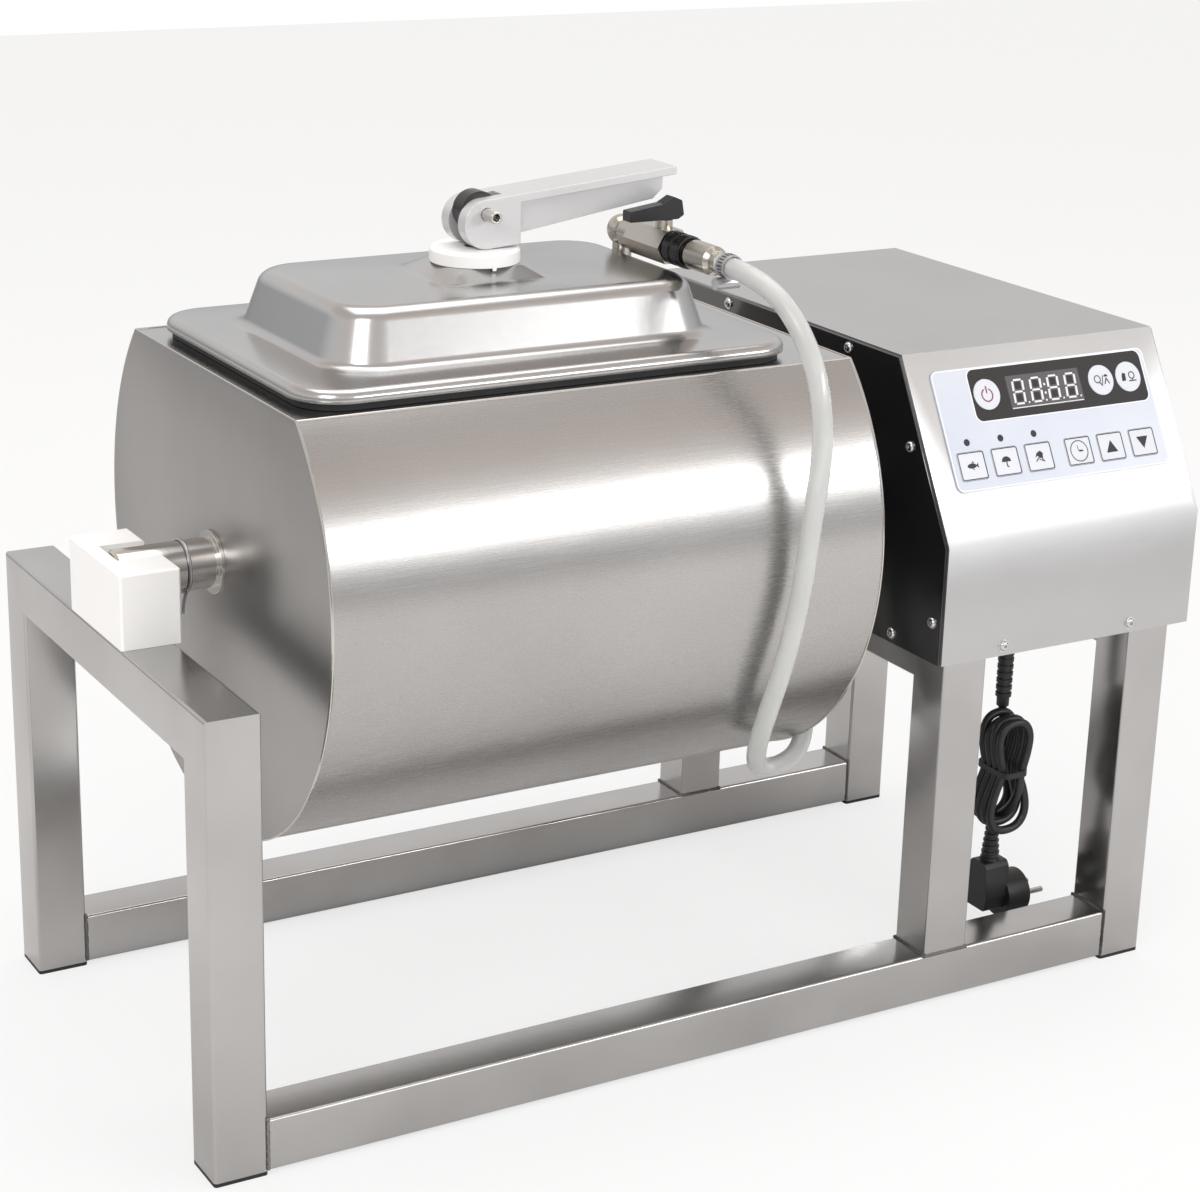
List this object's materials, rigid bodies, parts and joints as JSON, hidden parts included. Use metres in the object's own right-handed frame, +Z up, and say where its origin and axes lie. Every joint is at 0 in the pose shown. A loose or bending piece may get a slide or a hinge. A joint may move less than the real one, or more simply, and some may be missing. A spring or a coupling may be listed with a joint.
{
  "type": "vacuum meat tumbler",
  "caption": "Stainless tumbler for marinating meat under vacuum: horizontal drum with clamped lid, bearing block and keypad drive box on a tube frame.",
  "frame": {"origin": "floor level, midway along the machine, under the drum's axis", "axes": "+X along the drum to the drive box, +Y to the back, +Z up"},
  "size_m": [0.8424, 0.4449, 0.6472],
  "materials": {
    "frame_steel": "polished",
    "black_rubber": "matte",
    "white_nylon": "satin",
    "zinc_steel": "satin",
    "drum_steel": "polished",
    "bright_steel": "polished",
    "dark_steel": "satin",
    "lid_steel": "polished",
    "cast_lever": "satin",
    "nickel": "satin",
    "black_plastic": "satin",
    "clear_hose": "clear gloss",
    "cover_steel": "satin",
    "dark_plate": "gloss",
    "panel_blue": "satin",
    "panel_black": "gloss",
    "key_blue": "satin",
    "lamp_lens": "gloss",
    "board": "matte",
    "motor_grey": "satin",
    "cord_black": "matte"
  },
  "bodies": {
    "frame": {"left_posts": "frame_steel", "cross_rails": "frame_steel", "bottom_rails": "frame_steel", "inner_legs": "frame_steel", "outer_legs": "frame_steel", "foot_caps": "black_rubber", "cord_gland": "black_rubber", "bearing_block": "white_nylon", "block_screws": "zinc_steel", "housing_screws": "zinc_steel", "motor_bracket": "zinc_steel", "base_tray": "zinc_steel", "vacuum_port": "nickel", "plug_pins": "nickel", "mains_plug": "black_plastic", "air_tube": "clear_hose", "housing_cover": "cover_steel", "drum_side_plate": "dark_plate", "end_side_plate": "dark_plate", "control_overlay": "panel_blue", "display_window": "panel_black", "indicator_lamps": "lamp_lens", "control_board": "board", "gear_motor": "motor_grey", "vacuum_pump": "motor_grey", "power_cord": "cord_black", "cord_hank": "cord_black"},
    "drum": {"drum_shell": "drum_steel", "drum_top_plate": "drum_steel", "drum_end_left": "drum_steel", "drum_end_right": "drum_steel", "drum_baffles": "drum_steel", "stub_shaft": "bright_steel", "shaft_ring": "zinc_steel", "drum_tang": "bright_steel", "vacuum_hose": "clear_hose"},
    "drive": {"drive_fork": "bright_steel"},
    "lid": {"lid_pan": "lid_steel", "lid_gasket": "black_rubber", "thrust_puck": "white_nylon", "vacuum_elbow": "nickel", "valve_body": "nickel", "coupler_body": "nickel", "hose_clamp": "nickel"},
    "clamp": {"clamp_stud": "dark_steel", "clamp_bar": "bright_steel"},
    "lever": {"cam_lever": "cast_lever", "lever_pin": "bright_steel"},
    "valve": {"valve_handle": "black_plastic", "valve_ball": "bright_steel"},
    "sleeve": {"coupler_sleeve": "dark_steel"},
    "power_key_pad": {"power_key": "panel_black"},
    "mode_key_pad": {"mode_key": "panel_black"},
    "light_key_pad": {"light_key": "panel_black"},
    "programme_key_1_pad": {"programme_key_1": "key_blue"},
    "programme_key_2_pad": {"programme_key_2": "key_blue"},
    "programme_key_3_pad": {"programme_key_3": "key_blue"},
    "timer_key_pad": {"timer_key": "key_blue"},
    "up_key_pad": {"up_key": "key_blue"},
    "down_key_pad": {"down_key": "key_blue"}
  },
  "joints": [
    {"name": "drum_spin", "type": "hinge", "parent": "frame", "child": "drum", "pos_m": [-0.107, 0, 0.3816], "axis": [1, 0, 0], "continuous": true},
    {"name": "drive_spin", "type": "hinge", "parent": "frame", "child": "drive", "pos_m": [0.15, 0, 0.3816], "axis": [1, 0, 0], "continuous": true},
    {"name": "lid_lift", "type": "slide", "parent": "drum", "child": "lid", "axis": [0, 0, 1], "range_m": [0, 0.16], "deforming": ["vacuum_hose"]},
    {"name": "clamp_turn", "type": "hinge", "parent": "lid", "child": "clamp", "pos_m": [-0.121, 0, 0.57], "axis": [0, 0, 1], "range_deg": [0, 90]},
    {"name": "lever_cam", "type": "hinge", "parent": "clamp", "child": "lever", "pos_m": [-0.121, 0, 0.6218], "axis": [0, -1, 0], "range_deg": [0, 100]},
    {"name": "valve_turn", "type": "hinge", "parent": "lid", "child": "valve", "pos_m": [0.025, -0.026, 0.6], "axis": [0, 0, 1], "range_deg": [0, 90]},
    {"name": "sleeve_slide", "type": "slide", "parent": "lid", "child": "sleeve", "axis": [0, -1, 0], "range_m": [0, 0.004], "stiffness_N_per_m": 600, "springref_m": -0.004},
    {"name": "power_key_press", "type": "slide", "parent": "frame", "child": "power_key_pad", "axis": [0, 0.8723, -0.489], "range_m": [0, 0.0006], "stiffness_N_per_m": 900, "springref_m": -0.0006},
    {"name": "mode_key_press", "type": "slide", "parent": "frame", "child": "mode_key_pad", "axis": [0, 0.8723, -0.489], "range_m": [0, 0.0006], "stiffness_N_per_m": 900, "springref_m": -0.0006},
    {"name": "light_key_press", "type": "slide", "parent": "frame", "child": "light_key_pad", "axis": [0, 0.8723, -0.489], "range_m": [0, 0.0006], "stiffness_N_per_m": 900, "springref_m": -0.0006},
    {"name": "programme_key_1_press", "type": "slide", "parent": "frame", "child": "programme_key_1_pad", "axis": [0, 0.8723, -0.489], "range_m": [0, 0.0006], "stiffness_N_per_m": 900, "springref_m": -0.0006},
    {"name": "programme_key_2_press", "type": "slide", "parent": "frame", "child": "programme_key_2_pad", "axis": [0, 0.8723, -0.489], "range_m": [0, 0.0006], "stiffness_N_per_m": 900, "springref_m": -0.0006},
    {"name": "programme_key_3_press", "type": "slide", "parent": "frame", "child": "programme_key_3_pad", "axis": [0, 0.8723, -0.489], "range_m": [0, 0.0006], "stiffness_N_per_m": 900, "springref_m": -0.0006},
    {"name": "timer_key_press", "type": "slide", "parent": "frame", "child": "timer_key_pad", "axis": [0, 0.8723, -0.489], "range_m": [0, 0.0006], "stiffness_N_per_m": 900, "springref_m": -0.0006},
    {"name": "up_key_press", "type": "slide", "parent": "frame", "child": "up_key_pad", "axis": [0, 0.8723, -0.489], "range_m": [0, 0.0006], "stiffness_N_per_m": 900, "springref_m": -0.0006},
    {"name": "down_key_press", "type": "slide", "parent": "frame", "child": "down_key_pad", "axis": [0, 0.8723, -0.489], "range_m": [0, 0.0006], "stiffness_N_per_m": 900, "springref_m": -0.0006}
  ],
  "couplings": [
    {"joint": "drive_spin", "follows": "drum_spin", "ratio": 1}
  ]
}
